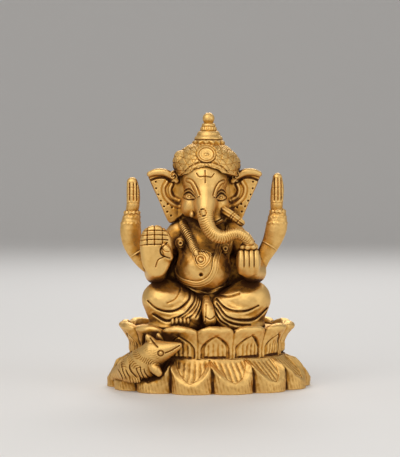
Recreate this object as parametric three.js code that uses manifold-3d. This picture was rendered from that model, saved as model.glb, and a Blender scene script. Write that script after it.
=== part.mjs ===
// A cast brass elephant-headed deity, seated on a two-tier lotus that a mouse climbs.
// Each casting is its own solid, let into its neighbour with a small fitting gap.
// Millimetres, +Z up, +X to the viewer's right, -Y towards the viewer.
// The origin is the middle of the base's underside.

import * as THREE from "three";
import { mergeVertices } from "three/addons/utils/BufferGeometryUtils.js";
import Module from "manifold-3d";

const wasm = await Module();
wasm.setup();

// Driving sizes
const HEIGHT = 115;
const BASE_HALF_WIDTH = 43.4;
const BASE_HALF_DEPTH = 31.6;
const PETALS = 14;
const LIP_Z = 5; // top of the lower petals' upright lips
const WAIST_Z = 13.8; // where the two lotus tiers meet
const SEAT_Z = 24.6; // floor of the upper lotus, which the figure sits on
const RIM_Z = 27.6; // tips of the upper petals
const WAIST_HALF_WIDTH = 33;
const RIM_HALF_WIDTH = 37;
const FIGURE_X = -1; // the figure sits a little left of the base's middle
const HEAD_X = -1; // the head's middle plane, from the figure's
const SPIRE_X = 0.8;
const GAP = 0.3; // fitting gap between castings
const SPIGOT_PLACE = [0, 2]; // the figure's spigot goes down through the seat
const SPIGOT_RADIUS = 5;
const SPIGOT_END_Z = 19.6;

const DEPTH_RATIO = BASE_HALF_DEPTH / BASE_HALF_WIDTH;
const BRASS = { color: 0xc7973f, roughness: 0.34, metalness: 1 };
const DARK_BRASS = { color: 0x9c6c26, roughness: 0.48, metalness: 1 };

// ---------------------------------------------------------------- solids

// A closed three.js geometry as a solid whose faces point out.
function solid(geometry) {
  const bare = geometry.clone();
  bare.deleteAttribute("normal");
  bare.deleteAttribute("uv");
  const merged = mergeVertices(bare, 1e-4);
  const triVerts = new Uint32Array(merged.index.array);
  const vertProperties = merged.attributes.position.array;
  const made = new wasm.Manifold(new wasm.Mesh({ numProp: 3, vertProperties, triVerts }));
  if (made.volume() > 0) return made;
  for (let i = 0; i < triVerts.length; i += 3) {
    [triVerts[i + 1], triVerts[i + 2]] = [triVerts[i + 2], triVerts[i + 1]];
  }
  return new wasm.Manifold(new wasm.Mesh({ numProp: 3, vertProperties, triVerts }));
}

// A solid's surface as a three.js geometry.
function geometryOf(body) {
  const mesh = body.getMesh();
  const points = new Float32Array(mesh.numVert * 3);
  for (let i = 0; i < mesh.numVert; i++) {
    points.set(mesh.vertProperties.subarray(i * mesh.numProp, i * mesh.numProp + 3), i * 3);
  }
  const geometry = new THREE.BufferGeometry();
  geometry.setAttribute("position", new THREE.BufferAttribute(points, 3));
  geometry.setIndex(new THREE.BufferAttribute(mesh.triVerts, 1));
  geometry.computeVertexNormals();
  return geometry;
}

const join = (...bodies) => bodies.reduce((all, body) => all.add(body));

// The largest of the bodies that a cut has left.
function mainBody(body) {
  const pieces = body.decompose();
  return pieces.reduce((best, piece) => (piece.volume() > best.volume() ? piece : best));
}

// Moves every vertex of a geometry by a function of its place.
function reshape(geometry, move) {
  const place = geometry.attributes.position;
  const point = new THREE.Vector3();
  for (let i = 0; i < place.count; i++) {
    point.fromBufferAttribute(place, i);
    move(point);
    place.setXYZ(i, point.x, point.y, point.z);
  }
  return geometry;
}

// An ellipsoid, optionally turned about Y. Small ones need fewer facets.
function egg([x, y, z], [rx, ry, rz], grow = 0, turnY = 0) {
  const sides = Math.max(rx, ry, rz) < 6 ? 10 : 14;
  const geometry = new THREE.SphereGeometry(1, sides, Math.round(sides * 0.65));
  geometry.rotateX(Math.PI / 2);
  geometry.scale(rx + grow, ry + grow, rz + grow);
  geometry.rotateY(turnY);
  geometry.translate(x, y, z);
  return solid(geometry);
}

// A round-ended bar of changing radius: a turned profile bent along a curve through the points.
// depth is its size along Y, as a share of its size across.
function limb(points, radii, grow = 0, { sides = 8, steps = 2, depth = 1, up = [0, 1, 0] } = {}) {
  const curve = new THREE.CatmullRomCurve3(points.map((p) => new THREE.Vector3(...p)));
  const spans = points.length - 1;
  const rows = [
    { t: 0, push: -1, size: 0 },
    { t: 0, push: -0.7, size: 0.7 },
  ];
  for (let i = 0; i <= spans * steps; i++) rows.push({ t: i / (spans * steps), push: 0, size: 1 });
  rows.push({ t: 1, push: 0.7, size: 0.7 }, { t: 1, push: 1, size: 0 });

  const profile = rows.map((row, i) => new THREE.Vector2(row.size, i));
  return solid(
    reshape(new THREE.LatheGeometry(profile, sides), (point) => {
      const { t, push } = rows[Math.round(point.y)];
      const along = curve.getTangent(t);
      const across = new THREE.Vector3().crossVectors(along, new THREE.Vector3(...up)).normalize();
      const through = new THREE.Vector3().crossVectors(across, along);
      const first = Math.min(Math.floor(t * spans), spans - 1);
      const radius = THREE.MathUtils.lerp(radii[first], radii[first + 1], t * spans - first) + grow;
      const { x, z } = point;
      point.copy(curve.getPoint(t));
      point.addScaledVector(along, push * radius);
      point.addScaledVector(across, x * radius);
      point.addScaledVector(through, z * (radius * depth + grow * (1 - depth)));
    }),
  );
}

// A flat piece: an outline in X and Z, from y0 back to y1.
function plate(outline, y0, y1, grow = 0, bevel = 0.4) {
  const shape = new THREE.Shape(outline.map(([x, z]) => new THREE.Vector2(x, z)));
  const geometry = new THREE.ExtrudeGeometry(shape, {
    depth: y1 - y0 - 2 * bevel,
    bevelThickness: bevel + grow,
    bevelSize: bevel + grow,
    bevelOffset: -bevel,
    bevelSegments: 1,
  });
  geometry.rotateX(Math.PI / 2);
  geometry.translate(0, y1 - bevel, 0);
  return solid(geometry);
}

// A piece turned about a vertical axis, from a profile of [radius, z].
function turned(profile, x, y, grow = 0, segments = 18) {
  const middle = (profile[0][1] + profile.at(-1)[1]) / 2;
  const points = profile.map(
    ([r, z]) => new THREE.Vector2(r > 0 ? r + grow : 0, z + Math.sign(z - middle) * grow),
  );
  const geometry = new THREE.LatheGeometry(points, segments);
  geometry.rotateX(Math.PI / 2);
  geometry.translate(x, y, 0);
  return solid(geometry);
}

// A ring round an axis.
function ring([x, y, z], axis, radius, tube, grow = 0) {
  const geometry = new THREE.TorusGeometry(radius, tube + grow, 6, 14);
  const turn = new THREE.Quaternion();
  turn.setFromUnitVectors(new THREE.Vector3(0, 0, 1), new THREE.Vector3(...axis).normalize());
  geometry.applyQuaternion(turn);
  geometry.translate(x, y, z);
  return solid(geometry);
}

function rod([x, y], radius, z0, z1) {
  const geometry = new THREE.CylinderGeometry(radius, radius, z1 - z0, 16);
  geometry.rotateX(Math.PI / 2);
  geometry.translate(x, y, (z0 + z1) / 2);
  return solid(geometry);
}

// The same points on the other side of the head's middle plane.
const mirrored = (points) => points.map(([x, ...rest]) => [2 * HEAD_X - x, ...rest]);

// ---------------------------------------------------------------- lotus

const STEPS_PER_PETAL = 6;

// Turns a profile of [radius, z, scallop, drop] into a petalled oval. A petal's edges stand in
// from its middle by scallop, and hang below it by drop. phase 0 puts a seam at the front,
// and phase 1 a petal.
function petalled(profile, phase, centreX, grow) {
  const points = profile.map(([r], i) => new THREE.Vector2(r, i));
  points.push(points[0].clone().setY(profile.length));
  const rows = [...profile, profile[0]];
  const geometry = new THREE.LatheGeometry(points, PETALS * STEPS_PER_PETAL);
  reshape(geometry, (point) => {
    const [radius, z, scallop, drop, outer] = rows[Math.round(point.y)];
    const angle = Math.atan2(point.x, point.z);
    const edge = 1 - Math.abs(Math.sin((PETALS / 2) * angle + (phase * Math.PI) / 2));
    const out = radius - scallop * edge + (outer ? grow : 0);
    const x = centreX(z) + out * Math.sin(angle);
    point.set(x, -out * DEPTH_RATIO * Math.cos(angle), z - drop * edge + (outer === 2 ? grow : 0));
  });
  return solid(geometry);
}

const UNDERSIDE_RADIUS = 34;
const TIER_HOLE_RADIUS = 27;
const UPPER_PHASE = 2 / 3; // the front petal stands a little to the statue's left

// The lower tier's lip is centred on the base, and its waist on the figure.
function lowerLotus(grow = 0) {
  const middle = -FIGURE_X;
  return petalled(
    [
      [UNDERSIDE_RADIUS, 0, 0, 0],
      [BASE_HALF_WIDTH, 0, 3.2, 0, 1],
      [BASE_HALF_WIDTH, LIP_Z, 3.2, -5.2, 1],
      [BASE_HALF_WIDTH - 3.5, LIP_Z + 2.6, 1.6, -3.2, 1],
      [WAIST_HALF_WIDTH + 1.6, WAIST_Z - 2, 0, -0.6, 1],
      [WAIST_HALF_WIDTH, WAIST_Z - GAP / 2, 0, 0, 2],
      [TIER_HOLE_RADIUS, WAIST_Z - GAP / 2, 0, 0],
      [TIER_HOLE_RADIUS + 1, WAIST_Z - 5, 0, 0],
    ],
    0,
    (z) => middle * Math.min(1, (WAIST_Z - z) / (WAIST_Z - LIP_Z - 2.6)),
    grow,
  );
}

function upperLotus(grow = 0) {
  const wall = petalled(
    [
      [TIER_HOLE_RADIUS, WAIST_Z + GAP / 2, 0, 0],
      [WAIST_HALF_WIDTH - 1, WAIST_Z + GAP / 2, 0.4, 0, 1],
      [WAIST_HALF_WIDTH + 0.4, WAIST_Z + 6.5, 0.8, 0, 1],
      [RIM_HALF_WIDTH, RIM_Z - 3, 1.8, 1.6, 1],
      [RIM_HALF_WIDTH + 0.4, RIM_Z - 1.6, 2, 1.8, 1],
      [RIM_HALF_WIDTH - 2, RIM_Z, 1, 1.8, 2],
      [WAIST_HALF_WIDTH - 1.5, SEAT_Z, 0.4, 0, 2],
      [TIER_HOLE_RADIUS, SEAT_Z, 0, 0, 2],
    ],
    UPPER_PHASE,
    () => 0,
    grow,
  );
  const floor = new THREE.CylinderGeometry(30, 28, 3.1 + grow, 42);
  floor.rotateX(Math.PI / 2);
  floor.scale(1, DEPTH_RATIO, 1);
  floor.translate(0, 0, SEAT_Z - 1.55 + grow / 2);
  const socket = rod(SPIGOT_PLACE, SPIGOT_RADIUS + GAP - grow, 0, HEIGHT);
  return wall.add(solid(floor)).subtract(socket);
}

// ---------------------------------------------------------------- mouse

function mouse(grow = 0) {
  const body = [
    [-37, -9.4, 6.4], [-32.6, -15.4, 8.6], [-27.4, -20.2, 12.2], [-23, -23.4, 16.6], [-18.6, -25.4, 19.6],
    [-12.4, -28, 20],
  ];
  const foot = [[-25.4, -23.4, 12.8], [-23.4, -26.6, 10.6], [-21, -28.2, 8.8]];
  const hindFoot = [[-36, -15, 6.8], [-33, -19.8, 5.8], [-29.4, -22.8, 5.6]];
  return join(
    limb(body, [5.2, 7, 7, 5.4, 4, 1.5], grow),
    egg([-31.4, -18.4, 10], [6.6, 5.4, 5.6], grow),
    limb(foot, [2.6, 2, 1.5], grow),
    limb(hindFoot, [2.6, 2.2, 1.8], grow),
    egg([-22.6, -22.4, 22], [2.4, 1.6, 3], grow),
  );
}

function mouseTail(grow = 0) {
  const path = [[-38.4, -7, 4.6], [-39.6, -2, 3.6], [-39.4, 3, 4.8], [-37.4, 8, 6.8]];
  return limb(path, [1.5, 1.3, 1.1, 0.8], grow, { up: [0, 0, 1] });
}

// ---------------------------------------------------------------- crown

function crownKnob(grow = 0) {
  const neck = HEIGHT - 4.6;
  const ball = HEIGHT - 2.5;
  const profile = [
    [0, neck], [1.7, neck], [1.7, ball - 1.9], [2.5, ball - 0.6], [2.5, ball + 0.6], [1.6, ball + 1.9],
    [0, HEIGHT],
  ];
  return turned(profile, SPIRE_X, 0, grow, 14);
}

function crownSpire(grow = 0) {
  const top = HEIGHT - 4.6 - GAP;
  const profile = [
    [0, 101], [6.6, 101], [6.5, 102.8], [5.9, 104.2], [4.9, 105.6], [4.3, 107], [3.5, 107.6], [2.8, top],
    [0, top],
  ];
  return turned(profile, SPIRE_X, 0, grow, 16);
}

const DOME_CENTRE = [0.1, 0, 91.5];
const DOME_RADII = [13.6, 13, 11.8];

function crownDome(grow = 0) {
  const dome = egg(DOME_CENTRE, DOME_RADII, grow);
  const below = new THREE.BoxGeometry(60, 60, 40);
  below.rotateX(-0.2); // the rim rises towards the forehead
  below.translate(0, -4, 68.8 - grow);
  return dome.subtract(solid(below));
}

function crownMedallion(grow = 0) {
  const disc = new THREE.CylinderGeometry(3.9 + grow, 3.9 + grow, 2.6 + 2 * grow, 18);
  disc.rotateX(-0.56);
  disc.translate(-0.7, -10.6, 97);
  return solid(disc);
}

const crownRosette = (side) => (grow = 0) => egg([HEAD_X + side * 13.2, -3.4, 88.6], [2.4, 2, 2.6], grow);

// ---------------------------------------------------------------- head

const EAR = [
  [-12.6, 89], [-15, 90.6], [-18.5, 91.6], [-24.8, 89.8], [-23, 84], [-19.8, 77], [-16, 70.2], [-12, 70],
  [-8, 76],
];

const ear = (outline) => (grow = 0) => plate(outline, -2.6, -0.4, grow);

const TRUNK = [
  [-0.9, -11, 79.5], [-1.1, -15.8, 75.5], [-1.3, -18, 71.2], [0.1, -19, 67], [2.9, -20, 64.4],
  [5.9, -20, 63.7], [8.8, -20, 64.7], [11.8, -20, 65.2], [14.6, -20, 63.8], [16.4, -19.2, 61.4],
];
const TRUNK_RADII = [4.6, 3.7, 3, 2.8, 2.75, 2.65, 2.5, 2.45, 2.4, 2.2];

const trunk = (grow = 0) => limb(TRUNK, TRUNK_RADII, grow, { steps: 3, sides: 10 });
const rightTusk = (grow = 0) => limb([[-6.2, -9.6, 75], [-6.7, -12.6, 72.4]], [1.8, 1.7], grow);
const leftTusk = (grow = 0) =>
  limb([[4.8, -10, 75.4], [9.2, -12.4, 72.6], [13.6, -13.6, 69.2]], [1.8, 1.75, 1.45], grow);

function head(grow = 0) {
  return join(
    egg([HEAD_X, -3.4, 82], [10, 11, 12], grow),
    egg([HEAD_X - 4.6, -7, 73.5], [4.8, 6, 5.4], grow),
    egg([HEAD_X + 4.6, -7, 73.5], [4.8, 6, 5.4], grow),
  );
}

// ---------------------------------------------------------------- body

function torso(grow = 0) {
  return join(
    egg([-1.7, -7, 50.5], [11.2, 11.6, 11], grow),
    egg([-0.8, -1.5, 59.5], [12, 9, 9], grow),
    egg([-0.5, 0.5, 63.5], [15, 6.5, 5.4], grow),
    egg([HEAD_X, 0.5, 68.4], [6.4, 6.2, 5], grow),
    egg([HEAD_X, 1, 71], [13, 4, 7], grow),
    egg([-0.5, 1, 36], [14, 11, 13], grow),
    egg([-0.5, -9, 31], [8, 7.6, 8], grow),
    egg([-0.5, 3, 49.5], [21, 3.4, 13], grow),
    rod(SPIGOT_PLACE, SPIGOT_RADIUS + grow, SPIGOT_END_Z, SEAT_Z + 6),
  );
}

// The cord over the left shoulder, under the belly and up the back.
function sacredThread(grow = 0) {
  const path = [
    [9.4, -2, 67.6], [7.4, -7.6, 62.5], [4.4, -12.6, 58], [2.4, -17.2, 53.4], [1.2, -18.6, 48.4],
    [-3.6, -17.6, 43.8], [-8.6, -15, 44.2], [-12, -10, 46.4], [-13.4, -2, 49.6], [-11.4, 4.6, 53],
    [-6.4, 7.4, 57], [-0.5, 8, 61.4], [4.6, 7.2, 65.4],
  ];
  return limb(path, Array(path.length).fill(1.4), grow, { sides: 6 });
}

function shoulderGarland(grow = 0) {
  const path = [
    [-11.2, -4, 69.6], [-10.2, -10, 66.6], [-8.4, -13.2, 63], [-6.4, -15.8, 59.6], [-4.9, -17.6, 56.4],
  ];
  return limb(path, [1.9, 1.9, 1.8, 1.7, 1.6], grow);
}

function garlandPendant(grow = 0) {
  const leaf = [
    [-3.4, 50.4], [-1.4, 51.2], [0.9, 53.9], [0.9, 57], [-3, 58.4], [-6.8, 57.2], [-6.4, 55], [-5.3, 51.8],
  ];
  return plate(leaf, -20, -15.8, grow, 0.5);
}

const chestBoss = (place) => (grow = 0) => egg(place, [2.1, 1.8, 2.4], grow);

// The sash hangs to a knot in front and passes level round the back.
function waistBelt(grow = 0) {
  const front = [
    [-14.4, -1, 42.4], [-11.6, -8.4, 42.4], [-6.2, -12.6, 41.2], [-0.3, -13.8, 39.6], [5.4, -12.6, 40.8],
    [10.6, -8.4, 42.4], [13.6, -1, 42.4],
  ];
  const back = [
    [-14.4, -1, 42.4], [-11.4, 6, 42.6], [-6.4, 9.4, 42.8], [-0.5, 10.8, 42.8], [5.4, 9.4, 42.8],
    [10.6, 6, 42.6], [13.6, -1, 42.4],
  ];
  const sashes = [front, back].map((path) =>
    limb(path, Array(path.length).fill(1.1), grow, { sides: 6, up: [0, 0, 1] }),
  );
  return join(...sashes, egg([0.4, -14.4, 39.8], [2.2, 1.6, 1.7], grow));
}

function dhotiTail(grow = 0) {
  const path = [[-0.9, -14.6, 37], [-0.5, -18.4, 32.8], [-0.2, -20.2, 28.4]];
  return limb(path, [1.7, 2.6, 2.6], grow, { depth: 0.8 });
}

function leg(side, grow) {
  const s = side;
  return join(
    egg([s * 16.4 - 0.5, -8, 38], [10.6, 9.4, 7], grow, s * 0.22),
    limb([[s * 6, 0, 33], [s * 15 - 0.5, -5.5, 33], [s * 18, -8, 31]], [8, 8.6, 7], grow),
    limb([[s * 17, -9.5, 30.4], [s * 11, -14.5, 29.2], [s * 5.4, -16.5, 28.6]], [6.6, 5, 3.6], grow),
  );
}
const rightLeg = (grow = 0) => leg(-1, grow);
const leftLeg = (grow = 0) => leg(1, grow);

// The other foot is tucked under its knee.
const rightFoot = (grow = 0) =>
  limb([[-6.4, -16.2, 27.2], [-10, -18.4, 27.8], [-13.6, -19.2, 28.2]], [2.2, 2.4, 2], grow);

// ---------------------------------------------------------------- arms

// The raised right palm, wrist down.
function rightFrontHand(grow = 0) {
  const palm = [
    [-23.8, 46.8], [-19.4, 46.8], [-16.2, 51], [-14.9, 57], [-15.1, 63], [-17.6, 66.8], [-21.6, 68.2],
    [-25.4, 67], [-27.9, 63.4], [-28, 57.4], [-27, 51],
  ];
  return plate(palm, -18.6, -13.8, grow, 1.4);
}

const FRONT_ARM_RADII = [5, 4.8, 4.6, 4, 3.4];

function rightFrontArm(grow = 0) {
  const path = [
    [-11.5, 0, 64.4], [-17.4, 0.4, 57], [-21.4, -2.5, 48.6], [-21.6, -8.5, 48], [-21.8, -13, 49.6],
  ];
  return limb(path, FRONT_ARM_RADII, grow);
}

function leftFrontArm(grow = 0) {
  const path = [[10.5, 0, 64.4], [16.4, 0.4, 57], [20.4, -2.5, 48.6], [18.8, -8.5, 48], [17.2, -13, 49.6]];
  return limb(path, FRONT_ARM_RADII, grow);
}

const leftFrontHand = (grow = 0) => egg([16.5, -16.8, 53], [4.9, 4.6, 6.2], grow);
const sweet = (grow = 0) => egg([16.4, -17.6, 60], [3.9, 3.5, 2.8], grow);

const REAR_ARMS = {
  right: {
    path: [[-23, -1.5, 49.4], [-27.4, -0.5, 53.4], [-30.8, 0, 59.6], [-31.8, 0, 66], [-31.4, 0, 71.6]],
    radii: [3, 3, 3.6, 4.1, 3.4],
    elbow: [-28.6, -0.3, 55.2],
    wrist: [-31.4, 0, 73],
    tip: [-31.3, 0, 88],
  },
  left: {
    path: [[21.6, -1.5, 49.8], [24, -0.5, 54.6], [27.4, 0, 60.4], [29.4, 0, 66.6], [30, 0, 72]],
    radii: [3, 3.1, 3.6, 4.3, 3.6],
    elbow: [26.2, -0.2, 58.2],
    wrist: [30, 0, 73.4],
    tip: [29.9, 0, 89.8],
  },
};

const rearArm = (side) => (grow = 0) =>
  limb(REAR_ARMS[side].path, REAR_ARMS[side].radii, grow, { depth: 0.85 });

const elbowBangle = (side) => (grow = 0) => {
  const { path, elbow } = REAR_ARMS[side];
  const along = path[2].map((v, i) => v - path[1][i]);
  return ring(elbow, along, 3.3, 0.8, grow);
};

const wristBangle = (side) => (grow = 0) => ring(REAR_ARMS[side].wrist, [0, 0, 1], 2.7, 0.8, grow);

const rearHand = (side) => (grow = 0) => {
  const [x, y, top] = REAR_ARMS[side].tip;
  const [wristX, , wrist] = REAR_ARMS[side].wrist;
  const path = [[wristX, y, wrist + 0.6], [x, y, wrist + 4], [x, y, top - 5], [x, y, top - 1.6]];
  return limb(path, [2.5, 2.6, 2.7, 1.6], grow, { depth: 0.85 });
};

// ---------------------------------------------------------------- assembly

// Name, shape and finish of each casting. A casting is cut to fit those listed before it, so the
// small ornaments stay whole and the large bodies are let in around them.
const CASTINGS = [
  ["lower_lotus", lowerLotus, DARK_BRASS],
  ["upper_lotus", upperLotus, BRASS],
  ["crown_knob", crownKnob, BRASS],
  ["crown_spire", crownSpire, BRASS],
  ["crown_medallion", crownMedallion, BRASS],
  ["right_crown_rosette", crownRosette(-1), BRASS],
  ["left_crown_rosette", crownRosette(1), BRASS],
  ["crown_dome", crownDome, BRASS],
  ["trunk", trunk, BRASS],
  ["right_tusk", rightTusk, BRASS],
  ["left_tusk", leftTusk, BRASS],
  ["garland_pendant", garlandPendant, BRASS],
  ["shoulder_garland", shoulderGarland, BRASS],
  ["sacred_thread", sacredThread, BRASS],
  ["right_chest_boss", chestBoss([-11.6, -8.6, 60.4]), BRASS],
  ["left_chest_boss", chestBoss([7.8, -10.4, 58.4]), BRASS],
  ["waist_belt", waistBelt, DARK_BRASS],
  ["sweet", sweet, BRASS],
  ["right_front_hand", rightFrontHand, BRASS],
  ["left_front_hand", leftFrontHand, BRASS],
  ["right_wrist_bangle", wristBangle("right"), BRASS],
  ["left_wrist_bangle", wristBangle("left"), BRASS],
  ["right_elbow_bangle", elbowBangle("right"), BRASS],
  ["left_elbow_bangle", elbowBangle("left"), BRASS],
  ["right_rear_hand", rearHand("right"), BRASS],
  ["left_rear_hand", rearHand("left"), BRASS],
  ["right_rear_arm", rearArm("right"), BRASS],
  ["left_rear_arm", rearArm("left"), BRASS],
  ["right_front_arm", rightFrontArm, BRASS],
  ["left_front_arm", leftFrontArm, BRASS],
  ["head", head, BRASS],
  ["right_ear", ear(EAR), BRASS],
  ["left_ear", ear(mirrored(EAR)), BRASS],
  ["dhoti_tail", dhotiTail, BRASS],
  ["right_foot", rightFoot, DARK_BRASS],
  ["torso", torso, BRASS],
  ["right_leg", rightLeg, BRASS],
  ["left_leg", leftLeg, BRASS],
  ["mouse_tail", mouseTail, DARK_BRASS],
  ["mouse", mouse, DARK_BRASS],
];

const touching = (a, b) => {
  const [first, second] = [a.boundingBox(), b.boundingBox()];
  return [0, 1, 2].every((k) => first.min[k] < second.max[k] && second.min[k] < first.max[k]);
};

const fitted = {};
const cutters = [];
for (const [name, shape] of CASTINGS) {
  let body = shape();
  for (const cutter of cutters) if (touching(body, cutter)) body = body.subtract(cutter);
  fitted[name] = mainBody(body);
  cutters.push(shape(GAP));
}

const figure = new THREE.Group();
figure.position.x = FIGURE_X;
for (const [name, , finish] of CASTINGS) {
  const mesh = new THREE.Mesh(geometryOf(fitted[name]), new THREE.MeshStandardMaterial(finish));
  mesh.name = name;
  figure.add(mesh);
}

const statue = new THREE.Group();
statue.add(figure);

export default statue;
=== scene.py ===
"""A cast brass elephant-headed deity on a two-tier lotus that a mouse climbs.

Every casting is sculpted as a distance field, in millimetres, and meshed with OpenVDB. A field is
negative inside the metal. The sculpting frame stands on the base's underside and is centred on the
figure: +X to the viewer's right, +Z up and -Y towards the viewer. Lines chased into a front are
listed as points of (x, z).
"""

import math
from concurrent.futures import ThreadPoolExecutor
from functools import reduce

import bpy
import numpy as np
import openvdb
from mathutils import Matrix, Vector


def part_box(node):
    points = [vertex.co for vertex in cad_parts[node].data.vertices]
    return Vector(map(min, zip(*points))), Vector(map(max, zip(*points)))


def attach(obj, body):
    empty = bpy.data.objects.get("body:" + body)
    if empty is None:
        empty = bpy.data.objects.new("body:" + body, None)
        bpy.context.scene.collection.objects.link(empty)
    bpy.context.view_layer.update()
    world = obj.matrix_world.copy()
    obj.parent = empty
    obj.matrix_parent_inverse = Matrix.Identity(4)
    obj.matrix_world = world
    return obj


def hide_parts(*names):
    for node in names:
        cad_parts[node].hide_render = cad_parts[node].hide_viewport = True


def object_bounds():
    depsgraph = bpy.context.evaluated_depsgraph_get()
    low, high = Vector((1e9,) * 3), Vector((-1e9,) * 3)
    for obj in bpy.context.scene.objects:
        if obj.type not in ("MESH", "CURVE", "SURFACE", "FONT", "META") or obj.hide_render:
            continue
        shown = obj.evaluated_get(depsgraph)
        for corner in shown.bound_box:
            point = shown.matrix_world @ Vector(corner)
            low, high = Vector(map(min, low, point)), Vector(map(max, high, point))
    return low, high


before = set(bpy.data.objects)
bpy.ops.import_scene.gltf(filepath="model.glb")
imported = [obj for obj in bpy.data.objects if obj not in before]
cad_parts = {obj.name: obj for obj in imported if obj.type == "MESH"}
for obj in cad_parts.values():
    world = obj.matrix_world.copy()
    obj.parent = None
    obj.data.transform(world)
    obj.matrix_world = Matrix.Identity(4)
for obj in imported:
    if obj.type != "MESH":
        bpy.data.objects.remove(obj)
cad_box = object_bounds()

MM = 0.001
VOXEL = 0.25  # of a broad form
FINE_VOXEL = 0.18  # of a form with fine detail
BAND = 3  # a field is kept to this many voxels either side of its surface
BLOCK = 8  # a field is worked out in cubes of this many voxels a side
BLOCKS_AT_ONCE = 500
PETALS = 14
UPPER_PHASE = 2 / 3  # 0 would put a seam at the front, and 1 a petal

# The figure's middle plane and the lotus's levels come from the frame.
seat_low, seat_high = (np.array(corner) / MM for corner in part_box("upper_lotus"))
base_low, base_high = (np.array(corner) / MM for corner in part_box("lower_lotus"))
FIGURE_X = (seat_low[0] + seat_high[0]) / 2
BASE_RADIUS = (base_high[0] - base_low[0]) / 2
BASE_X = (base_low[0] + base_high[0]) / 2 - FIGURE_X
WAIST_Z = (base_high[2] + seat_low[2]) / 2
RIM_Z = seat_high[2]
TOP_Z = cad_box[1][2] / MM
DEPTH_RATIO = 31.6 / 43.4  # of the lotus's oval plan
SEAT_Z = 24.6
SPIRE_X = 0.8
HEAD_X = -1.0
LEGS_X = -0.5


# ---------------------------------------------------------------- fields


def smooth_min(a, b, k):
    """The union of two fields, with a fillet of about k."""
    h = np.maximum(k - np.abs(a - b), 0)
    return np.minimum(a, b) - h * h / (4 * k)


def fuse(k, *fields):
    """The union of any number of fields."""
    return reduce(lambda a, b: smooth_min(a, b, k), fields)


def carve(a, b, k=0.3):
    """a with b taken out."""
    return -smooth_min(-a, b, k)


def mark(distance, width, height):
    """How far a raised or cut line of that width moves the surface."""
    return height * np.exp(-((distance / width) ** 2))


def lines(value, pitch, width, depth):
    """Cut lines of that width, at each whole pitch of a value in millimetres."""
    return mark(value - pitch * np.round(value / pitch), width, depth)


def step(value, low, high):
    """Rises smoothly from 0 at low to 1 at high."""
    t = np.clip((value - low) / (high - low), 0, 1)
    return t * t * (3 - 2 * t)


def length(v):
    return np.sqrt((v * v).sum(axis=0))


def column(v):
    return np.asarray(v, np.float32)[:, None]


def turn(axis, degrees):
    return np.array(Matrix.Rotation(math.radians(degrees), 3, axis), np.float32)


def egg(p, centre, radii, rotation=None):
    """An ellipsoid's field, which is close to the true distance near its surface."""
    q = p - column(centre)
    if rotation is not None:
        q = rotation.T @ q
    r = column(radii)
    near = length(q / r) + 1e-6
    return near * (near - 1) / (length(q / (r * r)) + 1e-6)


def spline(points, steps):
    """A Catmull-Rom curve through points of any number of coordinates."""
    knots = np.array(points, float)
    knots = np.vstack([2 * knots[0] - knots[1], knots, 2 * knots[-1] - knots[-2]])
    rows = []
    for a, b, c, d in zip(knots, knots[1:], knots[2:], knots[3:]):
        for t in np.arange(steps) / steps:
            bend = (2 * a - 5 * b + 4 * c - d) + t * (3 * (b - c) + d - a)
            rows.append(b + 0.5 * t * ((c - a) + t * bend))
    return np.array(rows + [knots[-2]])


def tube(p, points, steps=4, flat=1.0):
    """A round-ended bar through points of (x, y, z, radius). flat is its depth over its width."""
    line = spline(points, steps)
    line[:, 1] /= flat
    q = p / column((1, flat, 1)) if flat != 1 else p
    best = np.full(p.shape[1], 1e3, np.float32)
    for a, b in zip(line.astype(np.float32), line[1:].astype(np.float32)):
        along = b[:3] - a[:3]
        offset = q - a[:3, None]
        t = np.clip(along @ offset / (along @ along), 0, 1)
        near = length(offset - along[:, None] * t) - (a[3] + (b[3] - a[3]) * t)
        best = np.minimum(best, near)
    return best * min(1, flat)


def along_tube(p, points, steps=4, up=(0, 1, 0)):
    """For each point: how far along the curve it lies, and its angle round it."""
    line = spline(points, steps)[:, :3].astype(np.float32)
    best = np.full(p.shape[1], 1e6, np.float32)
    run, angle = np.zeros_like(best), np.zeros_like(best)
    start = 0.0
    for a, b in zip(line, line[1:]):
        along = b - a
        size = float(np.linalg.norm(along))
        offset = p - a[:, None]
        t = np.clip(along @ offset / size**2, 0, 1)
        away = offset - along[:, None] * t
        near = (away * away).sum(axis=0)
        side = np.cross(along / size, up)
        side /= np.linalg.norm(side)
        over = np.cross(side, along / size)
        closer = near < best
        best = np.where(closer, near, best)
        run = np.where(closer, start + t * size, run)
        angle = np.where(closer, np.arctan2(over @ away, side @ away), angle)
        start += size
    return run, angle


def stroke(u, w, points, steps=4):
    """The distance to a curve drawn in a plane."""
    line = spline(points, steps) if len(points) > 2 else np.array(points, float)
    best = np.full(u.shape, 1e6, np.float32)
    for a, b in zip(line, line[1:]):
        du, dw = b - a
        t = np.clip(((u - a[0]) * du + (w - a[1]) * dw) / (du * du + dw * dw), 0, 1)
        best = np.minimum(best, (u - a[0] - t * du) ** 2 + (w - a[1] - t * dw) ** 2)
    return np.sqrt(best)


def polygon(u, w, points):
    """The signed distance to a closed outline in a plane."""
    best = np.full(u.shape, 1e6, np.float32)
    inside = np.zeros(u.shape, bool)
    for (u0, w0), (u1, w1) in zip(points, points[1:] + points[:1]):
        du, dw = u1 - u0, w1 - w0
        t = np.clip(((u - u0) * du + (w - w0) * dw) / (du * du + dw * dw), 0, 1)
        best = np.minimum(best, (u - u0 - t * du) ** 2 + (w - w0 - t * dw) ** 2)
        if dw:
            inside ^= ((w0 > w) != (w1 > w)) & (u < (w - w0) * du / dw + u0)
    return np.where(inside, -1, 1) * np.sqrt(best)


def smooth_outline(points, steps):
    """A closed outline rounded through its points."""
    closed = spline(points[-1:] + points + points[:2], steps)
    return [tuple(row) for row in closed[steps : -steps - 1]]


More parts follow.
